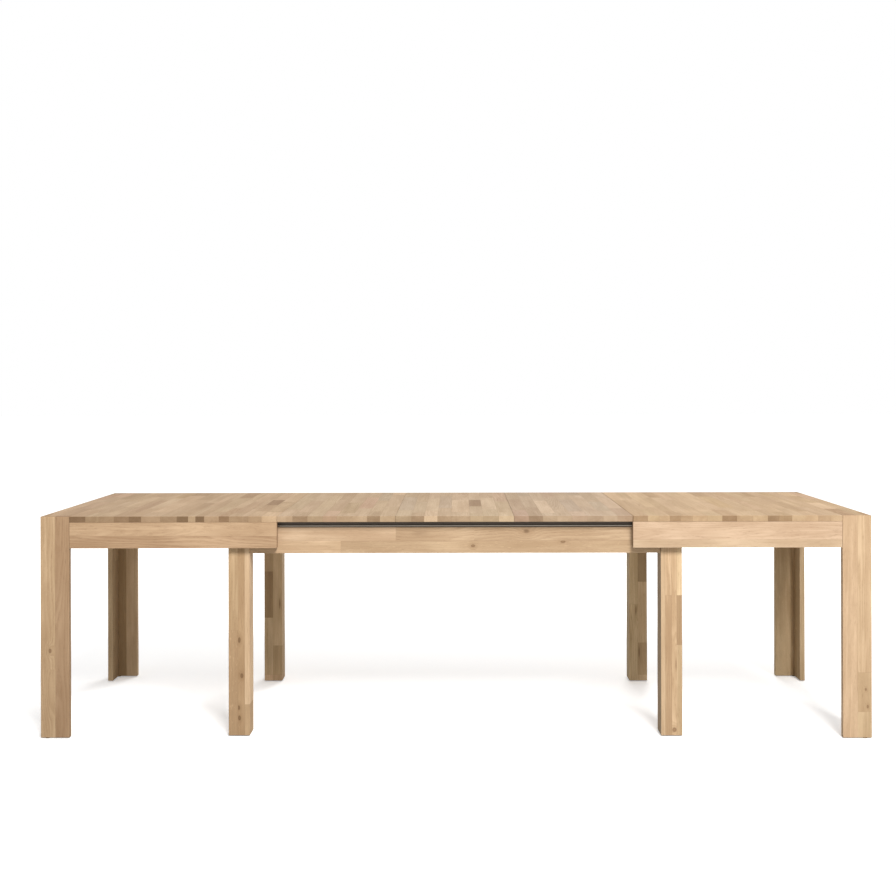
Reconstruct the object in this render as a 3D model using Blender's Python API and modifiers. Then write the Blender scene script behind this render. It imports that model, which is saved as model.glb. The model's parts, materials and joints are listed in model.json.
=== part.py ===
"""Extendable oak dining table, drawn out to its full length with three loose leaves in place.

Frame: metres, +Z up, origin on the floor under the middle of the table.
X runs along the table, -Y is the front, +Y the rear.

The table is three assemblies and three loose leaves:
  - a fixed centre frame: four square legs, aprons, cross rails and two guide rails;
  - a left and a right end, each with half of the top, aprons and two L-shaped corner
    legs, which slide along the guide rails until the halves meet over the centre frame;
  - three leaves that lie on the guide rails between the ends.
"""

import math

import bmesh
import bpy

# ---------------------------------------------------------------- driving dimensions
TABLE_LENGTH = 2.800        # drawn out, all three leaves in
TABLE_DEPTH = 0.850
TABLE_HEIGHT = 0.750
TOP_THICKNESS = 0.020
HALF_LENGTH = 0.800         # each sliding half of the top
LEAF_LENGTH = 0.400         # each of the three leaves
GAP = 0.0003                # clearance between pieces that touch

APRON_HEIGHT = 0.088
END_APRON_THICKNESS = 0.020
CENTRE_APRON_THICKNESS = 0.022
CENTRE_APRON_SET_BACK = 0.003   # behind the faces of the square legs

CORNER_LEG_WIDTH = 0.097    # width of each flange of the L
CORNER_LEG_BOARD = 0.020    # thickness of each flange
CENTRE_LEG_SIZE = 0.072
CENTRE_LEG_OUTER_X = 0.769  # outer faces of the square legs
CENTRE_LEG_SET_BACK = 0.024 # square legs stand this far behind the front and rear planes

RAIL_HEIGHT = 0.021         # space between the centre aprons and the underside of the top
RAIL_WIDTH = 0.028
RAIL_SET_BACK = 0.029
RAIL_HALF_LENGTH = 0.765
RAIL_GROOVE_HEIGHT = 0.009
RAIL_GROOVE_DEPTH = 0.006
RUNNER_WIDTH = 0.020
RUNNER_HEIGHT = 0.0175
TONGUE_HEIGHT = 0.007
TONGUE_REACH = 0.008
STOP_RADIUS = 0.005
STOP_LENGTH = 0.010

BRACE_X = 0.300
BRACE_THICKNESS = 0.022
BRACE_LOW, BRACE_HIGH = 0.630, 0.700

BATTEN_THICKNESS = 0.0155
HALF_BATTEN_WIDTH, HALF_BATTEN_Y = 0.050, 0.130
LEAF_BATTEN_WIDTH, LEAF_BATTEN_Y = 0.045, 0.200
LEAF_BATTEN_LENGTH = 0.294

GLIDE_HEIGHT = 0.003
CENTRE_GLIDE_RADIUS = 0.011
CORNER_GLIDE_RADIUS = 0.007

EDGE_ROUNDING = 0.0015      # eased edges of the legs
TOP_ROUNDING = 0.0008       # eased edges of the top and the leaves

# ---------------------------------------------------------------- derived dimensions
FRONT = -TABLE_DEPTH / 2
END = TABLE_LENGTH / 2
UNDERSIDE = TABLE_HEIGHT - TOP_THICKNESS
HALF_INNER_X = END - HALF_LENGTH
CENTRE_TOP = UNDERSIDE - RAIL_HEIGHT          # top of the centre legs and aprons
SIDES = {"left": -1, "right": 1}
FACES = {"front": -1, "rear": 1}              # sign of Y


def clear_scene():
    for obj in list(bpy.data.objects):
        bpy.data.objects.remove(obj, do_unlink=True)


clear_scene()
PARTS = bpy.data.collections.new("extendable_dining_table")
CUTTERS = bpy.data.collections.new("cutters")
bpy.context.scene.collection.children.link(PARTS)
bpy.context.scene.collection.children.link(CUTTERS)


def make_material(name, colour, roughness, metallic=0.0):
    material = bpy.data.materials.new(name)
    material.use_nodes = True
    shader = material.node_tree.nodes["Principled BSDF"]
    shader.inputs["Base Color"].default_value = (*colour, 1.0)
    shader.inputs["Roughness"].default_value = roughness
    shader.inputs["Metallic"].default_value = metallic
    material.diffuse_color = (*colour, 1.0)
    return material


def tone(name, warmth):
    """Oak, a little darker or lighter from piece to piece."""
    base = (0.565, 0.405, 0.255)
    return make_material(name, tuple(min(1.0, c * warmth) for c in base), 0.55)


def finish(obj, material, rounding=0.0, segments=1):
    obj.data.materials.append(material)
    if rounding:
        bevel = obj.modifiers.new("eased_edges", "BEVEL")
        bevel.width = rounding
        bevel.segments = segments
        bevel.limit_method = "ANGLE"
        bevel.angle_limit = math.radians(40)
        bevel.harden_normals = False
    return obj


def box_object(name, low, high, collection=None):
    """A box between two corners, with its origin at its middle and its scale already 1."""
    size = [h - l for l, h in zip(low, high)]
    centre = [(h + l) / 2 for l, h in zip(low, high)]
    mesh = bpy.data.meshes.new(name)
    form = bmesh.new()
    bmesh.ops.create_cube(form, size=1.0)
    bmesh.ops.scale(form, vec=size, verts=form.verts)
    form.to_mesh(mesh)
    form.free()
    obj = bpy.data.objects.new(name, mesh)
    obj.location = centre
    (collection or PARTS).objects.link(obj)
    return obj


def board(name, low, high, warmth=1.0, rounding=0.001, segments=1):
    low, high = [min(a, b) for a, b in zip(low, high)], [max(a, b) for a, b in zip(low, high)]
    obj = box_object(name, low, high)
    return finish(obj, tone(name + "_oak", warmth), rounding, segments)


def cutter(name, low, high):
    low, high = [min(a, b) for a, b in zip(low, high)], [max(a, b) for a, b in zip(low, high)]
    obj = box_object(name, low, high, CUTTERS)
    obj.hide_render = True
    obj.display_type = "WIRE"
    return obj


def boolean(obj, tool, operation):
    modifier = obj.modifiers.new(tool.name, "BOOLEAN")
    modifier.operation = operation
    modifier.object = tool
    modifier.solver = "EXACT"
    return modifier


def cylinder_object(name, centre, radius, height, material, segments=24, collection=None):
    mesh = bpy.data.meshes.new(name)
    form = bmesh.new()
    bmesh.ops.create_cone(
        form, cap_ends=True, segments=segments, radius1=radius, radius2=radius, depth=height
    )
    form.to_mesh(mesh)
    form.free()
    mesh.shade_smooth()
    mesh.set_sharp_from_angle(angle=math.radians(40))
    obj = bpy.data.objects.new(name, mesh)
    obj.location = centre
    obj.data.materials.append(material)
    (collection or PARTS).objects.link(obj)
    return obj


def axis_empty(name, location):
    empty = bpy.data.objects.new(name, None)
    empty.empty_display_size = 0.05
    empty.location = location
    PARTS.objects.link(empty)
    return empty


def parent_to(empty, objects):
    """Hang pieces on an empty and leave them where they are."""
    for obj in objects:
        obj.location = obj.location - empty.location
        obj.parent = empty


def inset(face, distance):
    """Y at a distance inward from the front or the rear plane of the table."""
    return face * (TABLE_DEPTH / 2 - distance)


# ---------------------------------------------------------------- centre frame
def square_leg(side_name, face_name, warmth):
    side, face = SIDES[side_name], FACES[face_name]
    return board(
        f"centre_leg_{face_name}_{side_name}",
        (side * CENTRE_LEG_OUTER_X, inset(face, CENTRE_LEG_SET_BACK), GLIDE_HEIGHT),
        (
            side * (CENTRE_LEG_OUTER_X - CENTRE_LEG_SIZE),
            inset(face, CENTRE_LEG_SET_BACK + CENTRE_LEG_SIZE),
            CENTRE_TOP,
        ),
        warmth,
        EDGE_ROUNDING,
        2,
    )


def centre_apron(face_name, warmth):
    face = FACES[face_name]
    reach = CENTRE_LEG_OUTER_X - CENTRE_LEG_SIZE - GAP
    front = CENTRE_LEG_SET_BACK + CENTRE_APRON_SET_BACK
    return board(
        f"centre_apron_{face_name}",
        (-reach, inset(face, front), CENTRE_TOP - APRON_HEIGHT),
        (reach, inset(face, front + CENTRE_APRON_THICKNESS), CENTRE_TOP),
        warmth,
    )


def centre_side_apron(side_name, warmth):
    side = SIDES[side_name]
    outer = CENTRE_LEG_OUTER_X - CENTRE_APRON_SET_BACK
    reach = TABLE_DEPTH / 2 - CENTRE_LEG_SET_BACK - CENTRE_LEG_SIZE - GAP
    return board(
        f"centre_apron_{side_name}",
        (side * outer, -reach, CENTRE_TOP - APRON_HEIGHT),
        (side * (outer - CENTRE_APRON_THICKNESS), reach, CENTRE_TOP),
        warmth,
    )


def centre_brace(side_name, warmth):
    x = SIDES[side_name] * BRACE_X
    reach = (
        TABLE_DEPTH / 2 - CENTRE_LEG_SET_BACK - CENTRE_APRON_SET_BACK
        - CENTRE_APRON_THICKNESS - GAP
    )
    return board(
        f"centre_brace_{side_name}",
        (x - BRACE_THICKNESS / 2, -reach, BRACE_LOW),
        (x + BRACE_THICKNESS / 2, reach, BRACE_HIGH),
        warmth,
    )


def guide_rail(face_name, material):
    """A metal channel on the centre legs and apron, grooved on both sides."""
    face = FACES[face_name]
    low, high = CENTRE_TOP + GAP, UNDERSIDE - GAP
    outer, inner = RAIL_SET_BACK, RAIL_SET_BACK + RAIL_WIDTH
    middle = (low + high) / 2
    rail = box_object(
        f"guide_rail_{face_name}",
        (-RAIL_HALF_LENGTH, min(inset(face, outer), inset(face, inner)), low),
        (RAIL_HALF_LENGTH, max(inset(face, outer), inset(face, inner)), high),
    )
    rail.data.materials.append(material)
    past = RAIL_HALF_LENGTH + 0.01
    for label, start, end in (
        ("outer", outer - 0.01, outer + RAIL_GROOVE_DEPTH),
        ("inner", inner - RAIL_GROOVE_DEPTH - 0.003, inner + 0.01),
    ):
        tool = cutter(
            f"cut_rail_{face_name}_{label}",
            (-past, inset(face, start), middle - RAIL_GROOVE_HEIGHT / 2),
            (past, inset(face, end), middle + RAIL_GROOVE_HEIGHT / 2),
        )
        boolean(rail, tool, "DIFFERENCE")
    return rail


# ---------------------------------------------------------------- sliding ends
def half_top(side_name, warmth):
    """Half of the top, notched at its outer corners round the two L-shaped legs."""
    side = SIDES[side_name]
    top = box_object(
        f"{side_name}_top",
        (min(side * END, side * (HALF_INNER_X + GAP)), FRONT, UNDERSIDE),
        (max(side * END, side * (HALF_INNER_X + GAP)), -FRONT, TABLE_HEIGHT),
    )
    z = (UNDERSIDE - 0.01, TABLE_HEIGHT + 0.01)
    width, thick = CORNER_LEG_WIDTH + GAP, CORNER_LEG_BOARD + GAP
    for face_name, face in FACES.items():
        for label, reach_x, reach_y in (("face", width, thick), ("side", thick, width)):
            tool = cutter(
                f"cut_{side_name}_top_{face_name}_{label}",
                (side * (END + 0.01), inset(face, -0.01), z[0]),
                (side * (END - reach_x), inset(face, reach_y), z[1]),
            )
            boolean(top, tool, "DIFFERENCE")
    return finish(top, tone(f"{side_name}_top_oak", warmth), TOP_ROUNDING)


def corner_leg(side_name, face_name, warmth):
    """Two boards glued to an L that wraps the square leg when the table is closed."""
    side, face = SIDES[side_name], FACES[face_name]
    name = f"{side_name}_leg_{face_name}"
    face_board = board(
        f"{name}_face",
        (side * END, inset(face, 0), GLIDE_HEIGHT),
        (side * (END - CORNER_LEG_WIDTH), inset(face, CORNER_LEG_BOARD), TABLE_HEIGHT),
        warmth,
        TOP_ROUNDING,
    )
    side_board = board(
        f"{name}_side",
        (side * END, inset(face, CORNER_LEG_BOARD + GAP), GLIDE_HEIGHT),
        (side * (END - CORNER_LEG_BOARD), inset(face, CORNER_LEG_WIDTH), TABLE_HEIGHT),
        warmth * 0.97,
        TOP_ROUNDING,
    )
    return [face_board, side_board]


def end_aprons(side_name, warmth):
    side = SIDES[side_name]
    top = UNDERSIDE - GAP
    bottom = UNDERSIDE - APRON_HEIGHT
    made = []
    for face_name, face in FACES.items():
        made.append(
            board(
                f"{side_name}_apron_{face_name}",
                (side * (END - CORNER_LEG_WIDTH - GAP), inset(face, 0), bottom),
                (side * (HALF_INNER_X + GAP), inset(face, END_APRON_THICKNESS), top),
                warmth,
                TOP_ROUNDING,
            )
        )
    reach = TABLE_DEPTH / 2 - CORNER_LEG_WIDTH - GAP
    made.append(
        board(
            f"{side_name}_apron_end",
            (side * END, -reach, bottom),
            (side * (END - END_APRON_THICKNESS), reach, top),
            warmth,
            TOP_ROUNDING,
        )
    )
    return made


def runner(side_name, face_name, material):
    """A bar under the half top, whose tongue runs in the inner groove of the guide rail."""
    side, face = SIDES[side_name], FACES[face_name]
    high = UNDERSIDE - GAP
    low = high - RUNNER_HEIGHT
    start = RAIL_SET_BACK + RAIL_WIDTH + 0.0015
    outer_x, inner_x = END - 0.120, HALF_INNER_X + 0.012
    middle = CENTRE_TOP + RAIL_HEIGHT / 2
    y = sorted((inset(face, start), inset(face, start + RUNNER_WIDTH)))
    x = sorted((side * outer_x, side * inner_x))
    bar = box_object(f"{side_name}_runner_{face_name}", (x[0], y[0], low), (x[1], y[1], high))
    bar.data.materials.append(material)
    tongue = cutter(
        f"tongue_{side_name}_{face_name}",
        (side * outer_x, inset(face, start - TONGUE_REACH), middle - TONGUE_HEIGHT / 2),
        (side * inner_x, inset(face, start + 0.002), middle + TONGUE_HEIGHT / 2),
    )
    boolean(bar, tongue, "UNION")
    return bar


def stop_bolt(side_name, face_name, material):
    """A bolt under the runner that meets the square leg when the end is fully out."""
    side, face = SIDES[side_name], FACES[face_name]
    high = UNDERSIDE - GAP - RUNNER_HEIGHT - GAP
    x = CENTRE_LEG_OUTER_X - CENTRE_LEG_SIZE - GAP - STOP_RADIUS
    y = inset(face, RAIL_SET_BACK + RAIL_WIDTH + 0.0015 + RUNNER_WIDTH / 2)
    return cylinder_object(
        f"{side_name}_stop_{face_name}",
        (side * x, y, high - STOP_LENGTH / 2),
        STOP_RADIUS,
        STOP_LENGTH,
        material,
        20,
    )


def batten(name, x_low, x_high, y_middle, width, warmth):
    high = UNDERSIDE - GAP
    return board(
        name,
        (x_low, y_middle - width / 2, high - BATTEN_THICKNESS),
        (x_high, y_middle + width / 2, high),
        warmth,
    )


# ---------------------------------------------------------------- leaves
def leaf(name, x_middle, warmth):
    half = LEAF_LENGTH / 2 - GAP / 2
    pieces = [
        board(
            name,
            (x_middle - half, FRONT, UNDERSIDE),
            (x_middle + half, -FRONT, TABLE_HEIGHT),
            warmth,
            TOP_ROUNDING,
        )
    ]
    for face_name, face in FACES.items():
        pieces.append(
            batten(
                f"{name}_batten_{face_name}",
                x_middle - LEAF_BATTEN_LENGTH / 2,
                x_middle + LEAF_BATTEN_LENGTH / 2,
                face * LEAF_BATTEN_Y,
                LEAF_BATTEN_WIDTH,
                warmth * 0.9,
            )
        )
    return pieces


# ---------------------------------------------------------------- assembly
dark_metal = make_material("anodised_rail", (0.085, 0.085, 0.09), 0.38, 0.9)
bright_metal = make_material("aluminium_runner", (0.62, 0.63, 0.65), 0.35, 1.0)
steel = make_material("zinc_steel", (0.55, 0.55, 0.56), 0.35, 1.0)
felt = make_material("black_glide", (0.03, 0.03, 0.03), 0.7)

LEG_TONES = {
    ("left", "front"): 0.98, ("right", "front"): 1.10,
    ("left", "rear"): 0.92, ("right", "rear"): 0.95,
}

for (side_name, face_name), warmth in LEG_TONES.items():
    square_leg(side_name, face_name, warmth)
    side, face = SIDES[side_name], FACES[face_name]
    cylinder_object(
        f"centre_glide_{face_name}_{side_name}",
        (
            side * (CENTRE_LEG_OUTER_X - CENTRE_LEG_SIZE / 2),
            inset(face, CENTRE_LEG_SET_BACK + CENTRE_LEG_SIZE / 2),
            (GLIDE_HEIGHT - GAP) / 2,
        ),
        CENTRE_GLIDE_RADIUS,
        GLIDE_HEIGHT - GAP,
        felt,
    )

for face_name in FACES:
    centre_apron(face_name, 1.04)
    guide_rail(face_name, dark_metal)
for side_name in SIDES:
    centre_side_apron(side_name, 1.0)
    centre_brace(side_name, 0.95)

for side_name, side in SIDES.items():
    warmth = {"left": 0.97, "right": 1.08}[side_name]
    moving = [half_top(side_name, warmth)]
    moving += end_aprons(side_name, warmth)
    for face_name, face in FACES.items():
        moving += corner_leg(side_name, face_name, LEG_TONES[side_name, face_name])
        moving.append(runner(side_name, face_name, bright_metal))
        moving.append(stop_bolt(side_name, face_name, steel))
        x = sorted((side * (END - 0.040), side * (HALF_INNER_X + 0.020)))
        moving.append(
            batten(
                f"{side_name}_batten_{face_name}",
                x[0], x[1], face * HALF_BATTEN_Y, HALF_BATTEN_WIDTH, 0.9,
            )
        )
        moving.append(
            cylinder_object(
                f"{side_name}_glide_{face_name}",
                (
                    side * (END - CORNER_LEG_BOARD),
                    inset(face, CORNER_LEG_BOARD / 2),
                    (GLIDE_HEIGHT - GAP) / 2,
                ),
                CORNER_GLIDE_RADIUS,
                GLIDE_HEIGHT - GAP,
                felt,
                20,
            )
        )
    parent_to(
        axis_empty(f"{side_name}_end_axis", (side * HALF_INNER_X, 0.0, UNDERSIDE)), moving
    )

for name, place, warmth in (("leaf_left", -1, 1.0), ("leaf_centre", 0, 1.05), ("leaf_right", 1, 1.02)):
    x = place * LEAF_LENGTH
    parent_to(axis_empty(f"{name}_axis", (x, 0.0, UNDERSIDE)), leaf(name, x, warmth))
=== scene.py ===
import json
import math

import bmesh
import bpy
import numpy as np
from mathutils import Matrix, Vector


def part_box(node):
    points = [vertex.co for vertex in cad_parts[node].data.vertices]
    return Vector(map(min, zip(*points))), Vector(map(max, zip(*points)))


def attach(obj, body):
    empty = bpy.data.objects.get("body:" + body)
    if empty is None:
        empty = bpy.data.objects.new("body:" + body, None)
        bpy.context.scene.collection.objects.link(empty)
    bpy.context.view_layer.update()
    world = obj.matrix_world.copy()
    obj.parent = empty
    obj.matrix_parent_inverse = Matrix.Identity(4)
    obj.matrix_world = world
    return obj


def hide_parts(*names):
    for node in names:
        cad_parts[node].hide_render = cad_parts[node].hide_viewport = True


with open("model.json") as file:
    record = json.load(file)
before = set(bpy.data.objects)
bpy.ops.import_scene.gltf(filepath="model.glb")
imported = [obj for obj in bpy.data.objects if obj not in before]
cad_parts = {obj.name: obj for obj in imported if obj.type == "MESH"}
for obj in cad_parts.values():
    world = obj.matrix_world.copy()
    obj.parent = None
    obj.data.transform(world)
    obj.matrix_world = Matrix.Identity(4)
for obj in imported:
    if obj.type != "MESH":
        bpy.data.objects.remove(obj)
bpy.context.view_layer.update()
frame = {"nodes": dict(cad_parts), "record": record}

NODES = frame["nodes"]
NODE_BODY = {
    n: body for body, members in frame["record"]["behaviour"]["bodies"].items() for n in members
}
SCENE = bpy.context.scene
SCENE.view_settings.view_transform = "Standard"
SCENE.view_settings.look = "None"

# ------------------------------------------------------------------ camera
FOCAL_PX, HORIZON_ROW, FRAME_PX = 1158.7, 384.8, 896.0
CAMERA_AT = Vector((0.0110, -4.3282, 1.1919))
CAMERA_YAW, CAMERA_ROLL = 0.0083, -0.0025


def make_camera():
    data = bpy.data.cameras.new("camera")
    data.sensor_width = 36.0
    data.lens = FOCAL_PX * 36.0 / FRAME_PX
    data.shift_y = -(FRAME_PX / 2 - HORIZON_ROW) / FRAME_PX
    data.dof.use_dof = False
    data.clip_end = 200.0
    camera = bpy.data.objects.new("camera", data)
    SCENE.collection.objects.link(camera)
    right = Vector((math.cos(CAMERA_YAW), math.sin(CAMERA_YAW), 0))
    ahead = Vector((-math.sin(CAMERA_YAW), math.cos(CAMERA_YAW), 0))
    up = Vector((0, 0, 1))
    r = right * math.cos(CAMERA_ROLL) + up * math.sin(CAMERA_ROLL)
    u = up * math.cos(CAMERA_ROLL) - right * math.sin(CAMERA_ROLL)
    m = Matrix((r, u, -ahead)).transposed().to_4x4()
    m.translation = CAMERA_AT
    camera.matrix_world = m
    SCENE.camera = camera


make_camera()


# ------------------------------------------------------------------ shader helpers
def linear(r, g, b):
    """A colour given in 0-255 display values, as linear light."""
    out = []
    for c in (r, g, b):
        c /= 255.0
        out.append(c / 12.92 if c <= 0.04045 else ((c + 0.055) / 1.055) ** 2.4)
    return out


class Tree:
    def __init__(self, material):
        material.use_nodes = True
        self.nodes, self.links = material.node_tree.nodes, material.node_tree.links
        self.shader = self.nodes["Principled BSDF"]

    def put(self, socket, value):
        if isinstance(value, bpy.types.NodeSocket):
            self.links.new(value, socket)
        elif value is not None:
            socket.default_value = value

    def math(self, op, a, b=None, c=None, clamp=False):
        n = self.nodes.new("ShaderNodeMath")
        n.operation, n.use_clamp = op, clamp
        for i, v in enumerate((a, b, c)):
            self.put(n.inputs[i], v)
        return n.outputs[0]

    def vec(self, op, a, b=None, scale=None):
        n = self.nodes.new("ShaderNodeVectorMath")
        n.operation = op
        self.put(n.inputs[0], a)
        if b is not None:
            self.put(n.inputs[1], b)
        if scale is not None:
            self.put(n.inputs["Scale"], scale)
        return n.outputs["Value"] if op in ("LENGTH", "DOT_PRODUCT", "DISTANCE") else n.outputs[0]

    def attribute(self, name):
        n = self.nodes.new("ShaderNodeAttribute")
        n.attribute_name = name
        return n

    def noise(self, vector, scale=1.0, detail=2.0, rough=0.5, distortion=0.0):
        n = self.nodes.new("ShaderNodeTexNoise")
        self.put(n.inputs["Vector"], vector)
        n.inputs["Scale"].default_value = scale
        n.inputs["Detail"].default_value = detail
        n.inputs["Roughness"].default_value = rough
        n.inputs["Distortion"].default_value = distortion
        return n

    def split(self, vector):
        n = self.nodes.new("ShaderNodeSeparateXYZ")
        self.put(n.inputs[0], vector)
        return n.outputs

    def join(self, x, y, z):
        n = self.nodes.new("ShaderNodeCombineXYZ")
        for s, v in zip(n.inputs, (x, y, z)):
            self.put(s, v)
        return n.outputs[0]

    def ramp(self, value, low, high, to_low=0.0, to_high=1.0, smooth=True):
        n = self.nodes.new("ShaderNodeMapRange")
        n.interpolation_type = "SMOOTHSTEP" if smooth else "LINEAR"
        n.clamp = True if not smooth else n.clamp
        self.put(n.inputs["Value"], value)
        n.inputs["From Min"].default_value = low
        n.inputs["From Max"].default_value = high
        n.inputs["To Min"].default_value = to_low
        n.inputs["To Max"].default_value = to_high
        return n.outputs[0]

    def mix(self, factor, a, b, blend="MIX"):
        n = self.nodes.new("ShaderNodeMix")
        n.data_type, n.blend_type = "RGBA", blend
        n.clamp_factor = True
        self.put(n.inputs["Factor"], factor)
        self.put(n.inputs[6], a)
        self.put(n.inputs[7], b)
        return n.outputs[2]

    def bump(self, height, distance, strength=1.0):
        n = self.nodes.new("ShaderNodeBump")
        n.inputs["Distance"].default_value = distance
        n.inputs["Strength"].default_value = strength
        self.put(n.inputs["Height"], height)
        self.links.new(n.outputs[0], self.shader.inputs["Normal"])


def rgba(colour):
    return (*colour, 1.0)


# ------------------------------------------------------------------ oak
def oak_material(name, roughness, strength=1.0, gloss=0.36):
    """Solid oak: growth rings round a pith line, fibres, pores and rays, knots, glue lines between staves, and painted
    shade along the seams between parts.

    Every stave carries its own grain frame, tone and knot as mesh attributes, so each is a different piece of wood.
    """
    material = bpy.data.materials.new(name)
    t = Tree(material)
    grain = t.attribute("grain").outputs["Vector"]
    tone = t.attribute("tone").outputs["Color"]
    traits = t.split(t.attribute("traits").outputs["Vector"])      # ring contrast, figure, end grain
    knot = t.attribute("knot").outputs["Vector"]
    cell = t.attribute("cell")

    # slow wander of the log, then of the single stave
    slow = t.noise(t.vec("MULTIPLY", grain, (1.6, 9.0, 9.0)), 1.0, 2.0, 0.55).outputs["Color"]
    slow = t.vec("SUBTRACT", slow, (0.5, 0.5, 0.5))
    quick = t.noise(t.vec("MULTIPLY", grain, (7.0, 55.0, 55.0)), 1.0, 2.0, 0.5).outputs["Color"]
    quick = t.vec("SUBTRACT", quick, (0.5, 0.5, 0.5))
    shift = t.vec("ADD", t.vec("MULTIPLY", slow, (0.0, 0.030, 0.030)),
                  t.vec("MULTIPLY", quick, (0.0, 0.0030, 0.0030)))

    # the grain flows round a knot
    knot_wander = t.vec("MULTIPLY", quick, (0.5, 0.5, 0.5))
    knot_far = t.vec("LENGTH", t.vec("ADD", knot, knot_wander))
    swirl = t.math("MULTIPLY", t.math("EXPONENT", t.math("MULTIPLY", t.math("MULTIPLY", knot_far, knot_far), -0.16)), 0.010)
    place = t.split(t.vec("ADD", grain, shift))
    radius = t.math("SQRT", t.math("ADD", t.math("MULTIPLY", place[1], place[1]),
                                   t.math("MULTIPLY", place[2], place[2])))
    radius = t.math("ADD", radius, swirl)

    # growth rings: a sharp rise at the porous early wood, then a slow fade
    turn = t.math("FRACT", t.math("MULTIPLY", radius, 300.0))
    ring = t.math("MULTIPLY", t.ramp(turn, 0.0, 0.22), t.ramp(turn, 0.25, 1.0, 1.0, 0.0))
    broad = t.noise(t.join(t.math("MULTIPLY", radius, 55.0), t.math("MULTIPLY", place[0], 0.35), 0.0), 1.0, 2.0, 0.6).outputs["Fac"]
    broad = t.ramp(broad, 0.30, 0.72)

    fibre = t.noise(t.vec("MULTIPLY", grain, (9.0, 420.0, 420.0)), 1.0, 3.0, 0.6).outputs["Fac"]
    streak = t.noise(t.vec("MULTIPLY", grain, (3.0, 95.0, 95.0)), 1.0, 3.0, 0.62).outputs["Fac"]
    pore = t.noise(t.vec("MULTIPLY", grain, (45.0, 1500.0, 1500.0)), 1.0, 1.0, 0.5).outputs["Fac"]
    pore = t.math("MULTIPLY", t.ramp(pore, 0.60, 0.72), t.ramp(ring, 0.15, 0.75))
    ray = t.noise(t.vec("MULTIPLY", grain, (60.0, 45.0, 900.0)), 1.0, 1.0, 0.5).outputs["Fac"]
    ray = t.ramp(ray, 0.64, 0.74)
    drift = t.noise(t.vec("MULTIPLY", grain, (4.0, 20.0, 20.0)), 1.0, 2.5, 0.5).outputs["Fac"]

    # colour
    dark = t.mix(1.0, tone, rgba((0.66, 0.59, 0.52)), "MULTIPLY")
    deep = t.mix(1.0, tone, rgba((0.42, 0.33, 0.26)), "MULTIPLY")
    pale = t.mix(1.0, tone, rgba((1.15, 1.16, 1.17)), "MULTIPLY")
    amount = lambda v: v * strength
    colour = t.mix(t.math("MULTIPLY", ring, t.math("MULTIPLY", traits[0], amount(0.50))), tone, dark)
    colour = t.mix(t.math("MULTIPLY", broad, t.math("MULTIPLY", traits[0], amount(0.50))), colour, dark)
    colour = t.mix(t.ramp(streak, 0.52, 0.80, 0.0, amount(0.50)), colour, dark)
    colour = t.mix(t.ramp(streak, 0.48, 0.22, 0.0, amount(0.55)), colour, pale)
    colour = t.mix(t.ramp(drift, 0.36, 0.68, 0.0, amount(0.40)), colour, dark)
    colour = t.mix(t.ramp(drift, 0.46, 0.30, 0.0, amount(0.30)), colour, pale)
    colour = t.mix(t.ramp(fibre, 0.45, 0.80, 0.0, amount(0.35)), colour, dark)
    colour = t.mix(t.math("MULTIPLY", ray, t.math("MULTIPLY", traits[1], amount(0.55))), colour, pale)
    colour = t.mix(t.math("MULTIPLY", pore, amount(0.50)), colour, deep)

    # a knot: dark bark ring, brown heart, darkened wood around it
    halo = t.ramp(knot_far, 1.0, 3.2, 0.50, 0.0)
    core = t.ramp(knot_far, 0.65, 1.25, 1.0, 0.0)
    rim = t.math("MULTIPLY", t.ramp(knot_far, 0.45, 0.85), core)
    colour = t.mix(halo, colour, dark)
    colour = t.mix(t.math("MULTIPLY", core, 0.72), colour, deep)
    colour = t.mix(t.math("MULTIPLY", rim, 0.34), colour, rgba((0.060, 0.034, 0.018)))

    # glue lines between staves, and painted shade along the seams with neighbouring parts
    sides = t.split(cell.outputs["Color"])
    nearest = t.math("MINIMUM", t.math("MINIMUM", sides[0], sides[1]),
                     t.math("MINIMUM", sides[2], cell.outputs["Alpha"]))
    line = t.ramp(nearest, 0.0001, 0.0006, 1.0, 0.0)
    colour = t.mix(t.math("MULTIPLY", line, 0.45), colour, deep)
    t.links.new(colour, t.shader.inputs["Base Color"])

    rough = t.math("ADD", t.math("MULTIPLY", fibre, 0.16), roughness - 0.08)
    rough = t.math("ADD", rough, t.math("MULTIPLY", pore, 0.15))
    t.links.new(rough, t.shader.inputs["Roughness"])
    t.shader.inputs["Specular IOR Level"].default_value = gloss
    height = t.math("ADD", t.math("MULTIPLY", fibre, 0.5), t.math("MULTIPLY", pore, -0.9))
    height = t.math("ADD", height, t.math("MULTIPLY", ring, -0.35))
    height = t.math("ADD", height, t.math("MULTIPLY", line, -0.6))
    t.bump(height, 0.00035, 0.55)
    return material


OAK = {
    "oak_top": oak_material("oak_top", 0.56, 0.80, 0.24),
    "oak_leg": oak_material("oak_leg", 0.58, 1.10, 0.30),
    "oak_apron": oak_material("oak_apron", 0.58, 1.30, 0.30),
    "oak_underframe": oak_material("oak_underframe", 0.66, 0.90),
}

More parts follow.
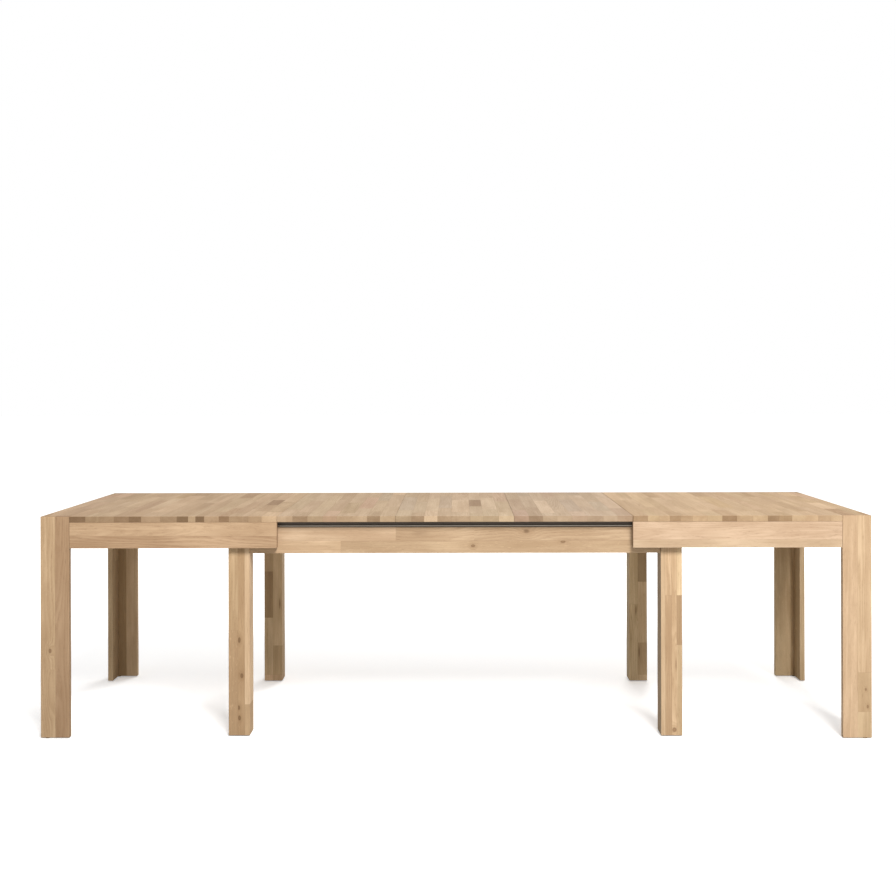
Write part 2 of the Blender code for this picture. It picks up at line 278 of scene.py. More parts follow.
# board colours in display values; a stave's tone is its brightness against them and a leaning of red, green, blue
BASES = {
    "top": (197, 172, 143),
    "leg": (202, 174, 139),
    "apron": (200, 173, 141),
    "under": (192, 165, 130),
}
TONES = {
    "pale": ((1.065, 1.070, 1.075), (0, 0, 0)),
    "light": ((1.030, 1.033, 1.036), (0, 0, 0)),
    "mid": ((1.000, 1.000, 1.000), (0, 0, 0)),
    "dim": ((0.964, 0.954, 0.942), (0, 0, 0)),
    "brown": ((0.912, 0.890, 0.864), (0, 0, 0)),
    "dark": ((0.828, 0.794, 0.752), (0, 0, 0)),
    "umber": ((0.850, 0.835, 0.815), (0, 0, 0)),
    "fair": ((1.048, 1.052, 1.056), (0, 0, 0)),
    "bright": ((1.110, 1.130, 1.175), (0, 0, 0)),
    "pink": ((0.985, 0.985, 0.985), (2, -2, 0)),
    "rose": ((0.935, 0.915, 0.908), (0, 0, 0)),
    "honey": ((0.992, 0.988, 0.960), (0, 0, 0)),
    "grey": ((0.975, 0.985, 1.000), (0, 0, 0)),
}
MIXES = {
    "top": (["light"] * 4 + ["mid"] * 7 + ["dim"] * 3 + ["honey"] * 2 + ["pink"] * 3 + ["grey"] * 2 + ["brown"] + ["pale"]),
    "leg": (["light"] * 4 + ["mid"] * 5 + ["honey"] * 2 + ["pink"] * 2 + ["dim"] * 2),
    "apron": (["light"] * 4 + ["mid"] * 5 + ["pink"] * 2 + ["honey"] + ["dim"] * 2),
    "under": (["mid"] * 4 + ["honey"] * 2 + ["dim"] * 3 + ["brown"] * 2 + ["grey"] * 2),
}


# ------------------------------------------------------------------ boards cut into staves
AXES = {"X": 0, "Y": 1, "Z": 2}


def rounded_block(outline, plane, low, high, radius, segments):
    """A flat outline in the X-Y plane raised between two heights, or any block, with eased edges."""
    form = bmesh.new()
    verts = [form.verts.new((x, y, low)) for x, y in outline]
    face = form.faces.new(verts)
    if face.normal.z > 0:
        face.normal_flip()
    form.normal_update()
    if face.normal.z > 0:
        face.normal_flip()
    up = bmesh.ops.extrude_face_region(form, geom=[face])
    moved = [g for g in up["geom"] if isinstance(g, bmesh.types.BMVert)]
    bmesh.ops.translate(form, verts=moved, vec=(0, 0, high - low))
    bmesh.ops.recalc_face_normals(form, faces=form.faces)
    if radius:
        edges = [e for e in form.edges if e.calc_face_angle(0) > math.radians(30)]
        bmesh.ops.bevel(form, geom=edges, offset=radius, segments=segments, profile=0.5,
                        affect="EDGES", clamp_overlap=True)
    return form


def box_outline(low, high):
    return [(low[0], low[1]), (high[0], low[1]), (high[0], high[1]), (low[0], high[1])]


def slice_form(form, axis, value, inside=None):
    """Cuts faces along a plane, all of them or those whose middle passes a test. Neighbours keep whole edges."""
    faces = [f for f in form.faces if inside is None or inside(f.calc_center_bounds())]
    geom = set(faces)
    for f in faces:
        geom.update(f.edges)
        geom.update(f.verts)
    co, no = [0.0, 0.0, 0.0], [0.0, 0.0, 0.0]
    co[axis], no[axis] = value, 1.0
    bmesh.ops.bisect_plane(form, geom=list(geom), dist=1e-6, plane_co=co, plane_no=no)


def weighted_normals(mesh):
    """Corner normals that keep the flats flat and let only the eased edges turn."""
    normals = np.zeros((len(mesh.polygons), 3))
    areas = np.zeros(len(mesh.polygons))
    around = [[] for _ in mesh.vertices]
    for p in mesh.polygons:
        normals[p.index] = p.normal
        areas[p.index] = p.area
        for v in p.vertices:
            around[v].append(p.index)
    out = []
    for p in mesh.polygons:
        mine = normals[p.index]
        flat = np.abs(mine).max() > 0.9995
        for v in p.vertices:
            if flat:
                out.append(tuple(mine))
                continue
            near = [i for i in around[v] if normals[i] @ mine > 0.60]
            n = (normals[near] * areas[near][:, None]).sum(0)
            length = np.linalg.norm(n)
            out.append(tuple(n / length) if length > 1e-12 else tuple(mine))
    mesh.normals_split_custom_set(out)


def random_cuts(rng, start, end, least, most):
    """Positions that split a length into pieces of a random size."""
    cuts, at = [], start + rng.uniform(0.35, 1.0) * rng.uniform(least, most)
    while at < end - least * 0.45:
        cuts.append(at)
        at += rng.uniform(least, most)
    return cuts


class Stave:
    def __init__(self, rng, base, tone, exact=False):
        bright, lean = TONES[tone]
        display = np.array(base, float) * np.array(bright) + np.array(lean, float)
        vary = rng.uniform(-0.035, 0.035) * (0.3 if exact else 1.0)
        self.colour = np.array(linear(*display)) * (1 + vary) * (1 + rng.uniform(-0.012, 0.012, 3))
        self.angle = rng.uniform(0, 2 * math.pi)
        self.pith = rng.uniform(0.025, 0.110)
        self.offset = rng.uniform(-40, 40)
        self.slope = rng.uniform(-0.022, 0.022, 2)
        self.contrast = rng.uniform(0.30, 1.0)
        self.figure = max(0.0, rng.uniform(-0.6, 1.0))
        self.knots = []                        # [(position, radii), ...]


def stave_piece(name, node, form, grain, width, seed, columns, joints, mix, material, base,
                tones=None, knots=None, end_dark=0.70, drift=(1.0, 1.0), ends_shade=None, painted_seam_shade=(0.0, 0.0),
                painted_end_seam_shade=(0.0, 0.0), painted_side_light_and_shade=(1.0, 1.0)):
    """Cuts a board into staves and gives each its wood.

    columns: cut positions across the staves; joints: {column: [cut positions along it]};
    tones: {(column, part): tone}; knots: {(column, part): [(position, radii), ...]};
    drift: how the colour changes from the low end of the grain to the high end; on the legs it darkens the foot as
    painted shade;
    ends_shade: {column: shade} of the end grain at the low end of each column;
    painted_seam_shade: how far a painted shade line along the seam with the next part reaches in from the first and the
    last column;
    painted_end_seam_shade: the same at the low and the high end of the grain;
    painted_side_light_and_shade: painted light and shade on the long narrow side at the first and at the last column, a
    brightness factor for each.
    """
    rng = np.random.default_rng(seed)
    g, w = AXES[grain], AXES[width]
    d = 3 - g - w
    lowest, highest = [np.array(f([v.co for v in form.verts], axis=0)) for f in (np.min, np.max)]
    for c in columns:
        slice_form(form, w, c)
    edges = [lowest[w]] + list(columns) + [highest[w]]
    joints = {k: sorted(v) for k, v in joints.items()}
    for k in range(len(edges) - 1):
        for j in joints.get(k, []):
            slice_form(form, g, j, lambda m, k=k: edges[k] <= m[w] <= edges[k + 1])

    for (k, i), marks in (knots or {}).items():
        at = sorted(m[0][g] for m in marks)
        for a, b in zip(at, at[1:]):
            slice_form(form, g, (a + b) / 2, lambda m, k=k: edges[k] <= m[w] <= edges[k + 1])

    mesh = bpy.data.meshes.new(name)
    form.to_mesh(mesh)
    form.free()

    staves = {}
    for k in range(len(edges) - 1):
        ends = [lowest[g]] + joints.get(k, []) + [highest[g]]
        for i in range(len(ends) - 1):
            tone = mix[int(rng.integers(len(mix)))]
            named = (tones or {}).get((k, i))
            stave = Stave(rng, base, named or tone, named is not None)
            stave.knots = (knots or {}).get((k, i), [])
            staves[k, i] = (stave, edges[k], edges[k + 1], ends[i], ends[i + 1])

    corners = len(mesh.loops)
    data = {n: np.zeros((corners, 3)) for n in ("grain", "traits", "knot")}
    tone_data, cell_data = np.ones((corners, 4)), np.ones((corners, 4))
    co = np.array([v.co for v in mesh.vertices])
    for p in mesh.polygons:
        middle = (co[list(p.vertices)].min(0) + co[list(p.vertices)].max(0)) / 2
        k = int(np.clip(np.searchsorted(edges, middle[w]) - 1, 0, len(edges) - 2))
        ends = [lowest[g]] + joints.get(k, []) + [highest[g]]
        i = int(np.clip(np.searchsorted(ends, middle[g]) - 1, 0, len(ends) - 2))
        s, w0, w1, g0, g1 = staves[k, i]
        n = p.normal
        on_end = abs(n[g]) > 0.72
        on_side = abs(n[w]) > 0.72
        loops = list(p.loop_indices)
        at = co[[mesh.loops[x].vertex_index for x in loops]]
        along = at[:, g]
        across = at[:, w] - (w0 + w1) / 2 + s.slope[0] * (along - (g0 + g1) / 2)
        deep = at[:, d] - (lowest[d] + highest[d]) / 2 + s.slope[1] * (along - (g0 + g1) / 2)
        ca, sa = math.cos(s.angle), math.sin(s.angle)
        data["grain"][loops] = np.stack(
            [along + s.offset, ca * across - sa * deep + s.pith, sa * across + ca * deep], 1)
        data["traits"][loops] = (s.contrast, s.figure, 1.0 if on_end else 0.0)
        if s.knots:
            position, radii = min(s.knots, key=lambda m: abs(m[0][g] - middle[g]))
            data["knot"][loops] = (at - np.array(position)) / np.array(radii)
        else:
            data["knot"][loops] = (60.0, 60.0, 60.0)
        shade = np.array([1.0, 1.0, 1.0])
        if on_end:
            depth = ends_shade.get(k, end_dark) if ends_shade and n[g] < 0 else end_dark
            shade = np.array([depth, depth ** 1.14 * 0.99, depth ** 1.28 * 0.98])
        # painted light and shade: a narrow side is darkened or lightened according to where the light falls on it
        if on_side:
            shade = shade * (painted_side_light_and_shade[0] if n[w] < 0 else painted_side_light_and_shade[1])
        # painted shade on the legs: drift darkens the low end of the grain, which is a leg's foot
        share = ((along - lowest[g]) / (highest[g] - lowest[g]))[:, None]
        tone_data[loops, :3] = s.colour * shade * (drift[0] + (drift[1] - drift[0]) * share)
        # cell distances draw the glue lines between staves; at the piece's outer edges the seam widths draw painted
        # shade along the seam with the next part
        cell = np.ones((len(loops), 4))
        if not on_side:
            if k > 0:
                cell[:, 0] = at[:, w] - w0
            elif painted_seam_shade[0]:
                cell[:, 0] = at[:, w] - w0 - painted_seam_shade[0]
            if k < len(edges) - 2:
                cell[:, 1] = w1 - at[:, w]
            elif painted_seam_shade[1]:
                cell[:, 1] = w1 - at[:, w] - painted_seam_shade[1]
        if not on_end:
            if i > 0:
                cell[:, 2] = along - g0
            elif painted_end_seam_shade[0]:
                cell[:, 2] = along - g0 - painted_end_seam_shade[0]
            if i < len(ends) - 2:
                cell[:, 3] = g1 - along
            elif painted_end_seam_shade[1]:
                cell[:, 3] = g1 - along - painted_end_seam_shade[1]
        cell_data[loops] = cell
    for n, values in data.items():
        mesh.attributes.new(n, "FLOAT_VECTOR", "CORNER").data.foreach_set("vector", values.astype(np.float32).ravel())
    for n, values in (("tone", tone_data), ("cell", cell_data)):
        mesh.attributes.new(n, "FLOAT_COLOR", "CORNER").data.foreach_set("color", values.astype(np.float32).ravel())
    for p in mesh.polygons:
        p.use_smooth = True
    weighted_normals(mesh)
    mesh.materials.append(OAK[material])
    obj = bpy.data.objects.new(name, mesh)
    SCENE.collection.objects.link(obj)
    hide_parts(node)
    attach(obj, NODE_BODY[node])
    return obj


def equal_columns(low, high, count, rng, spread=0.12):
    """Cut positions for a number of nearly equal staves."""
    step = (high - low) / count
    return [low + step * (k + 1) + rng.uniform(-spread, spread) * step for k in range(count - 1)]


def columns_between(low, high, least, most, rng):
    cuts, at = [], low + rng.uniform(least, most)
    while at < high - least * 0.8:
        cuts.append(at)
        at += rng.uniform(least, most)
    return cuts


def simple_board(node, grain, width, columns, least, most, mix, material, seed, radius=0.0012,
                 joints=None, tones=None, knots=None, segments=2, base=None, drift=(1.0, 1.0), end_dark=0.70,
                 painted_seam_shade=(0.0, 0.0), painted_end_seam_shade=(0.0, 0.0), painted_side_light_and_shade=(1.0, 1.0)):
    low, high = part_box(node)
    rng = np.random.default_rng(seed + 1000)
    g, w = AXES[grain], AXES[width]
    if isinstance(columns, int):
        columns = equal_columns(low[w], high[w], columns, rng)
    if joints is None:
        joints = {k: random_cuts(rng, low[g], high[g], least, most) for k in range(len(columns) + 1)}
    form = rounded_block(box_outline(low, high), None, low[2], high[2], radius, segments)
    return stave_piece(node + "_oak", node, form, grain, width, seed, columns, joints,
                       MIXES[mix], material, base or BASES[mix], tones, knots, end_dark, drift, None, painted_seam_shade, painted_end_seam_shade, painted_side_light_and_shade)


# ---- top and leaves: staves run from the front edge to the rear
def top_outline(side):
    """The half top, notched round the ends of its two corner legs."""
    low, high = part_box(f"{side}_top")
    face_low, face_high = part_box(f"{side}_leg_front_face")
    side_low, side_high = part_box(f"{side}_leg_front_side")
    gap = 0.0003
    inner = high[0] if side == "left" else low[0]
    outer = low[0] if side == "left" else high[0]
    s = 1 if side == "left" else -1            # from the outer end inward
    wide = s * abs((face_high[0] if side == "left" else face_low[0]) - outer) + s * gap
    thick = s * abs((side_high[0] if side == "left" else side_low[0]) - outer) + s * gap
    y0, y1 = low[1], high[1]
    thick_y = face_high[1] - y0 + gap
    wide_y = side_high[1] - y0 + gap
    points = [
        (inner, y0), (inner, y1),
        (outer + wide, y1), (outer + wide, y1 - thick_y),
        (outer + thick, y1 - thick_y), (outer + thick, y1 - wide_y),
        (outer, y1 - wide_y), (outer, y0 + wide_y),
        (outer + thick, y0 + wide_y), (outer + thick, y0 + thick_y),
        (outer + wide, y0 + thick_y), (outer + wide, y0),
    ]
    return points


# the end grain of a front stave varies more than its face
MUTED = {"dark": "dim", "brown": "dim", "dim": "mid", "mid": "mid", "light": "mid", "pale": "pale", "pink": "pink"}
EDGE_SHADE = {"dark": 0.50, "brown": 0.67, "dim": 0.76, "mid": 0.85, "light": 0.94, "pale": 1.03, "pink": 0.82}


def plank_top(node, outline, seed, strips, base, drift=(1.0, 1.0), end_dark=0.74, painted_seam_shade=(0.0, 0.0), even=0.0):
    """A top or leaf from a list of strips, left to right: (right edge, [joints], {part: tone}).

    even: how far the end grain of the staves is brought to one tone.
    """
    low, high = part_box(node)
    rng = np.random.default_rng(seed + 500)
    columns = [right for right, _, _ in strips][:-1]
    joints, tones, shades = {}, {}, {}
    for k, (_, cuts, names) in enumerate(strips):
        joints[k] = list(cuts) if cuts is not None else random_cuts(rng, low[1], high[1], 0.20, 0.46)
        for i, tone in names.items():
            tones[k, i] = MUTED[tone] if i == 0 else tone
            if i == 0:
                shades[k] = (EDGE_SHADE[tone] * (1 - even) + 0.82 * even) * end_dark / 0.74
    form = rounded_block(outline, None, low[2], high[2], 0.0010, 2)
    return stave_piece(node + "_oak", node, form, "Y", "X", seed, columns, joints,
                       MIXES["top"], "oak_top", base, tones, None, end_dark, drift, shades, painted_seam_shade)


# part 0 of a strip is the stave at the front edge
LEFT_TOP = [
    (-1.355, None, {}), (-1.303, None, {}),
    (-1.248, (-0.21, 0.16), {0: "dark", 1: "mid", 2: "dim"}),
    (-1.202, (-0.31, 0.08), {0: "dim", 1: "mid", 2: "light"}),
    (-1.151, (-0.12, 0.25), {0: "dim", 1: "light", 2: "mid"}),
    (-1.100, (-0.27, 0.11), {0: "brown", 1: "dim", 2: "mid"}),
    (-1.059, (-0.18, 0.20), {0: "dark", 1: "light", 2: "honey"}),
    (-0.994, (-0.30, 0.30), {0: "mid", 1: "light", 2: "brown"}),
    (-0.938, (-0.22, 0.13), {0: "dim", 1: "mid", 2: "dim"}),
    (-0.900, (-0.33, 0.02), {0: "dark", 1: "dim", 2: "mid"}),
    (-0.875, (-0.10, 0.26), {0: "light", 1: "mid", 2: "light"}),
    (-0.846, (-0.24, 0.10), {0: "dark", 1: "dim", 2: "mid"}),
    (-0.796, (-0.29, 0.21), {0: "light", 1: "mid", 2: "brown"}),
    (-0.762, (-0.17, 0.15), {0: "brown", 1: "light", 2: "mid"}),
    (-0.720, (-0.32, 0.07), {0: "mid", 1: "dim", 2: "light"}),
    (-0.697, (-0.20, 0.24), {0: "dim", 1: "mid", 2: "mid"}),
    (-0.652, (-0.27, -0.065, 0.125), {0: "mid", 1: "dim", 2: "dark", 3: "mid"}),
    (-0.600, (-0.295, 0.05), {0: "pale", 1: "dim", 2: "light"}),
]
LEAF_LEFT = [
    (-0.547, (-0.21, 0.19), {0: "light", 1: "mid", 2: "mid"}),
    (-0.497, (-0.30, 0.09), {0: "brown", 1: "mid", 2: "light"}),
    (-0.445, (-0.14, 0.28), {0: "dim", 1: "light", 2: "mid"}),
    (-0.398, (-0.26, 0.13), {0: "pink", 1: "mid", 2: "dim"}),
    (-0.345, (-0.33, 0.02), {0: "mid", 1: "dim", 2: "mid"}),
    (-0.295, (-0.18, 0.22), {0: "light", 1: "pink", 2: "mid"}),
    (-0.252, (-0.28, 0.10), {0: "brown", 1: "mid", 2: "grey"}),
    (-0.200, (-0.12, 0.33), {0: "light", 1: "mid", 2: "pale"}),
]
LEAF_CENTRE = [
    (-0.146, (-0.24, 0.23), {0: "dim", 1: "grey", 2: "mid"}),
    (-0.103, (-0.32, 0.05), {0: "brown", 1: "mid", 2: "dim"}),
    (-0.058, (-0.255, 0.17), {0: "pale", 1: "light", 2: "mid"}),
    (-0.012, (-0.17, 0.26), {0: "dim", 1: "grey", 2: "mid"}),
    (0.052, (-0.30, 0.115), {0: "dim", 1: "pale", 2: "mid"}),
    (0.097, (-0.35, -0.115, 0.115), {0: "light", 1: "mid", 2: "dark", 3: "mid"}),
    (0.149, (-0.22, 0.20), {0: "mid", 1: "light", 2: "mid"}),
    (0.200, (-0.31, 0.06), {0: "pale", 1: "mid", 2: "pink"}),
]
LEAF_RIGHT = [
    (0.250, (-0.25, 0.14), {0: "pink", 1: "dim", 2: "mid"}),
    (0.297, (-0.16, 0.27), {0: "brown", 1: "mid", 2: "grey"}),
    (0.345, (-0.34, 0.08), {0: "mid", 1: "pale", 2: "mid"}),
    (0.395, (-0.20, 0.21), {0: "light", 1: "mid", 2: "dim"}),
    (0.447, (-0.29, 0.12), {0: "mid", 1: "grey", 2: "mid"}),
    (0.500, (-0.13, 0.30), {0: "dim", 1: "light", 2: "grey"}),
    (0.549, (-0.27, 0.04), {0: "light", 1: "grey", 2: "mid"}),
    (0.600, (-0.19, 0.18), {0: "mid", 1: "pale", 2: "light"}),
]
RIGHT_TOP = [
    (0.650, (-0.31, 0.10), {0: "brown", 1: "mid", 2: "light"}),
    (0.688, (-0.22, 0.20), {0: "light", 1: "mid", 2: "mid"}),
    (0.724, (-0.15, 0.30), {0: "mid", 1: "light", 2: "pale"}),
    (0.760, (-0.28, 0.20), {0: "brown", 1: "dim", 2: "mid"}),
    (0.800, (-0.33, 0.20), {0: "dim", 1: "mid", 2: "brown"}),
    (0.850, (-0.20, 0.12), {0: "light", 1: "mid", 2: "mid"}),
    (0.900, (-0.30, 0.24), {0: "light", 1: "light", 2: "mid"}),
    (0.949, (-0.25, 0.03), {0: "dark", 1: "mid", 2: "light"}),
    (1.003, (-0.17, 0.24), {0: "dim", 1: "honey", 2: "dim"}),
    (1.053, (-0.29, 0.10), {0: "light", 1: "mid", 2: "mid"}),
    (1.090, (-0.24, 0.19), {0: "dark", 1: "mid", 2: "light"}),
    (1.134, (-0.32, 0.07), {0: "brown", 1: "light", 2: "mid"}),
    (1.180, (-0.21, 0.22), {0: "light", 1: "mid", 2: "dim"}),
    (1.222, (-0.30, 0.02), {0: "light", 1: "dim", 2: "mid"}),
    (1.262, (-0.16, 0.25), {0: "mid", 1: "light", 2: "honey"}),
    (1.303, (-0.26, 0.11), {0: "light", 1: "mid", 2: "light"}),
    (1.352, None, {}), (1.400, None, {}),
]

# the seam widths paint shade along the gaps between the tops and leaves, widest where the right leaf meets the right
# top
plank_top("left_top", top_outline("left"), 11, LEFT_TOP, (183, 157, 127), end_dark=0.72, painted_seam_shade=(0.0, 0.0002), even=0.05)
plank_top("right_top", top_outline("right"), 12, RIGHT_TOP, (188, 161, 129), end_dark=0.82, painted_seam_shade=(0.0018, 0.0), even=0.42)
plank_top("leaf_left", box_outline(*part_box("leaf_left")), 21, LEAF_LEFT, (183, 159, 130), end_dark=0.78, painted_seam_shade=(0.0002, 0.0002), even=0.22)
plank_top("leaf_centre", box_outline(*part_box("leaf_centre")), 22, LEAF_CENTRE, (183, 160, 132), end_dark=0.78, painted_seam_shade=(0.0002, 0.0004), even=0.22)
plank_top("leaf_right", box_outline(*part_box("leaf_right")), 23, LEAF_RIGHT, (181, 158, 133), end_dark=0.78, painted_seam_shade=(0.0004, 0.0018), even=0.28)


# ---- square legs: (columns, joints, tones, knots, base, drift, painted side light and shade); drift darkens the front legs towards the foot as painted shade, and the last pair paints light and shade on a leg's two narrow sides
def spot(x, y, z, rx, rz, ry=None, behind=0.0):
    """A knot in a leg or an apron; one that sits behind the surface shows only as darkened wood."""
    ry = rx if ry is None else ry
    return ((x, y + behind * ry, z), (rx, ry, rz))


square_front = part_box("centre_leg_front_left")[0].y
square_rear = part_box("centre_leg_rear_left")[0].y
SQUARE = {
    "centre_leg_front_left": (
        [-0.7367, -0.7142], {0: [0.36], 1: [], 2: [0.1085]},
        {(0, 0): "dim", (0, 1): "mid", (1, 0): "brown", (2, 0): "mid", (2, 1): "bright"},
        {(1, 0): [spot(-0.7323, square_front, 0.063, 0.0052, 0.0092, None, 0.45), spot(-0.7345, square_front, 0.098, 0.0052, 0.0090, None, 0.55),
                  spot(-0.7241, square_front, 0.206, 0.0052, 0.0090, None, 0.45), spot(-0.7323, square_front, 0.327, 0.0052, 0.0110, None, 0.45)]},
        (197, 168, 133), (0.90, 1.0), (1.0, 1.15)),
    "centre_leg_front_right": (
        [0.7116, 0.7332, 0.7504], {0: [], 1: [0.4776], 2: [], 3: [0.31, 0.4776]},
        {(0, 0): "mid", (1, 0): "dim", (1, 1): "mid", (2, 0): "light", (3, 0): "mid", (3, 1): "brown", (3, 2): "pale"},
        {(2, 0): [spot(0.7420, square_front, 0.0225, 0.0068, 0.0075), spot(0.7478, square_front, 0.244, 0.0018, 0.026, 0.0018, 0.7)],
         (1, 0): [spot(0.7225, square_front, 0.365, 0.0048, 0.070, 0.0048, 1.15)]},
        (204, 176, 142), (0.95, 1.0), (0.72, 1.0)),
    "centre_leg_rear_left": (
        [-0.7344], {0: [0.0274, 0.2568, 0.4419], 1: [0.0274, 0.1441]},
        {(0, 0): "pink", (0, 1): "mid", (0, 2): "dark", (0, 3): "rose", (1, 0): "pink", (1, 1): "dim", (1, 2): "light"},
        {(0, 3): [spot(-0.7490, square_rear, 0.525, 0.0030, 0.0050, None, 0.4)],
         (1, 2): [spot(-0.7069, square_rear, 0.311, 0.0046, 0.032, 0.0046, 0.80)]},
        (210, 182, 144), (1.0, 1.0), (1.0, 1.0)),
    "centre_leg_rear_right": (
        [0.7322], {0: [0.31], 1: [0.0267, 0.155, 0.400]},
        {(0, 0): "mid", (0, 1): "light", (1, 0): "mid", (1, 1): "dim", (1, 2): "light", (1, 3): "umber"},
        {(0, 0): [spot(0.7246, square_rear, 0.286, 0.0044, 0.026, 0.0044, 0.80)],
         (1, 1): [spot(0.7367, square_rear, 0.118, 0.0044, 0.034, 0.0044, 0.80)]},
        (213, 186, 148), (1.0, 1.0), (0.90, 1.0)),
}
for number, (node, (columns, joints, tones, knots, base, drift, painted_side_light_and_shade)) in enumerate(SQUARE.items()):
    simple_board(node, "Z", "X", columns, 0, 0, "leg", "oak_leg", 31 + number, 0.0016, joints, tones, knots,
                 base=base, drift=drift, painted_side_light_and_shade=painted_side_light_and_shade)

# ---- corner legs
face_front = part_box("left_leg_front_face")[0].y
face_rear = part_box("left_leg_rear_face")[0].y
# corner leg faces: (columns, joints, tones, knots, base, drift); drift darkens each front face towards its foot as
# painted shade
CORNER = {
    "left_leg_front_face": (
        [-1.3495], {0: [], 1: []}, {(0, 0): "light", (1, 0): "rose"},
        {(0, 0): [spot(-1.3683, face_front, 0.297, 0.0050, 0.0085, None, 0.4), spot(-1.3720, face_front, 0.170, 0.0060, 0.050, 0.006, 1.35)]},
        # this base is darker than the right front leg's, partly the wood's own tone and partly painted shade of the
        # light falling off towards the left
        (195, 167, 133), (0.87, 1.0)),
    "right_leg_front_face": (
        [1.3529], {0: [], 1: [0.090, 0.222]}, {(0, 0): "mid", (1, 0): "mid", (1, 1): "dim", (1, 2): "mid"},
        {(1, 1): [spot(1.3858, face_front, 0.1075, 0.0032, 0.0055), spot(1.3800, face_front, 0.165, 0.0028, 0.0050)]},
        (206, 178, 145), (0.96, 1.0)),
    "left_leg_rear_face": (
        [-1.3480], {0: [], 1: []}, {(0, 0): "brown", (1, 0): "light"}, {}, (206, 178, 142), (1.0, 1.0)),
    "right_leg_rear_face": (
        [1.3660], {0: [], 1: []}, {(0, 0): "mid", (1, 0): "dim"},
        {(0, 0): [spot(1.3600, face_rear, 0.300, 0.0060, 0.034, 0.006, 1.2), spot(1.3330, face_rear, 0.520, 0.0050, 0.024, 0.005, 1.25)]},
        (205, 178, 142), (1.0, 1.0)),
}
for number, (node, (columns, joints, tones, knots, base, drift)) in enumerate(CORNER.items()):
    simple_board(node, "Z", "X", columns, 0, 0, "leg", "oak_leg", 51 + number, 0.0010, joints, tones, knots,
                 base=base, drift=drift)
# side boards of the corner legs; drift=(0.95, 1.0) darkens them towards the foot as painted shade
for number, (node, base) in enumerate((
    ("left_leg_front_side", (199, 171, 136)), ("right_leg_front_side", (203, 175, 140)),
    ("left_leg_rear_side", (203, 175, 140)), ("right_leg_rear_side", (204, 177, 141)),
)):
    low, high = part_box(node)
    middle = (low.y + high.y) / 2 + (0.004 if number % 2 else -0.006)
    simple_board(node, "Z", "Y", [middle], 0, 0, "leg", "oak_leg", 61 + number, 0.0010,
                 {0: [], 1: [0.30 + 0.09 * number] if number != 1 else []}, None, None, base=base, drift=(0.95, 1.0))

# ---- aprons
apron_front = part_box("centre_apron_front")[0].y
APRONS = {
    "centre_apron_front": (
        [0.6631], {0: [-0.3866], 1: [-0.1997]},
        {(0, 0): "fair", (0, 1): "dim", (1, 0): "light", (1, 1): "dim"},
        {(0, 1): [spot(0.0614, apron_front, 0.6453, 0.0070, 0.0050), spot(0.3671, apron_front, 0.6595, 0.0085, 0.0042)],
         (1, 1): [spot(-0.1120, apron_front, 0.6880, 0.060, 0.017, 0.012, 1.0),
                  spot(0.2432, apron_front, 0.6949, 0.014, 0.009, 0.009, 0.75)]},
        (199, 172, 142)),
    # the left apron's base is darker than the right one's, partly the wood's own tone and partly painted shade of the
    # light falling off towards the left
    "left_apron_front": ([0.6829], {0: [], 1: []}, {(0, 0): "dim", (1, 0): "mid"}, {}, (195, 165, 133)),
    "right_apron_front": ([0.6690], {0: [], 1: []}, {(0, 0): "mid", (1, 0): "mid"}, {}, (205, 178, 150)),
    "centre_apron_rear": ([0.6650], {0: [-0.22, 0.31], 1: [0.05]}, {}, {}, (198, 169, 138)),
    "left_apron_rear": ([0.6840], {0: [-1.02], 1: []}, {}, {}, (197, 168, 136)),
    "right_apron_rear": ([0.6800], {0: [], 1: [0.93]}, {}, {}, (203, 174, 142)),
}
for number, (node, (columns, joints, tones, knots, base)) in enumerate(APRONS.items()):
    # painted shade: a dark line along each apron's top edge, and at the outer end where a half's apron meets its leg
    outer = {"l": (0.0010, 0.0), "r": (0.0, 0.0006), "c": (0.0, 0.0)}[node[0]]
    simple_board(node, "X", "Z", columns, 0, 0, "apron", "oak_apron", 71 + number, 0.0010, joints, tones, knots, base=base,
                 painted_seam_shade=(0.0, 0.0006), painted_end_seam_shade=outer)
for number, (node, joints) in enumerate((
    ("centre_apron_left", {0: [0.08], 1: []}), ("centre_apron_right", {0: [], 1: [-0.11]}),
    ("left_apron_end", {0: [-0.06], 1: []}), ("right_apron_end", {0: [], 1: [0.09]}),
)):
    low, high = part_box(node)
    simple_board(node, "Y", "Z", [(low.z + high.z) / 2], 0, 0, "apron", "oak_apron", 81 + number, 0.0010, joints)

# ---- hidden timber
for number, node in enumerate(sorted(n for n in NODES if "batten" in n)):
    simple_board(node, "X", "Y", 1, 2.0, 3.0, "under", "oak_underframe", 91 + number, 0.0012)
for number, node in enumerate(("centre_brace_left", "centre_brace_right")):
    simple_board(node, "Y", "Z", 2, 0.4, 0.8, "under", "oak_underframe", 111 + number, 0.0012)


# ------------------------------------------------------------------ metal and plastic
def plain_material(name, colour, roughness, metallic, variation=0.08, scale=60.0, stretch=(1, 1, 1), bump=0.00005):
    material = bpy.data.materials.new(name)
    t = Tree(material)
    place = t.nodes.new("ShaderNodeTexCoord").outputs["Object"]
    place = t.vec("MULTIPLY", place, stretch)
    n = t.noise(place, scale, 3.0, 0.6).outputs["Fac"]
    low = rgba([c * (1 - variation) for c in colour])
    high = rgba([min(1.0, c * (1 + variation)) for c in colour])
    t.links.new(t.mix(t.ramp(n, 0.3, 0.7), low, high), t.shader.inputs["Base Color"])
    t.links.new(t.ramp(n, 0.2, 0.8, roughness - 0.06, roughness + 0.08, smooth=False), t.shader.inputs["Roughness"])
    t.shader.inputs["Metallic"].default_value = metallic
    t.bump(n, bump, 0.5)
    return material


RAIL = plain_material("guide_rail", linear(98, 87, 78), 0.46, 0.30, 0.14, 30.0, (2, 60, 60))
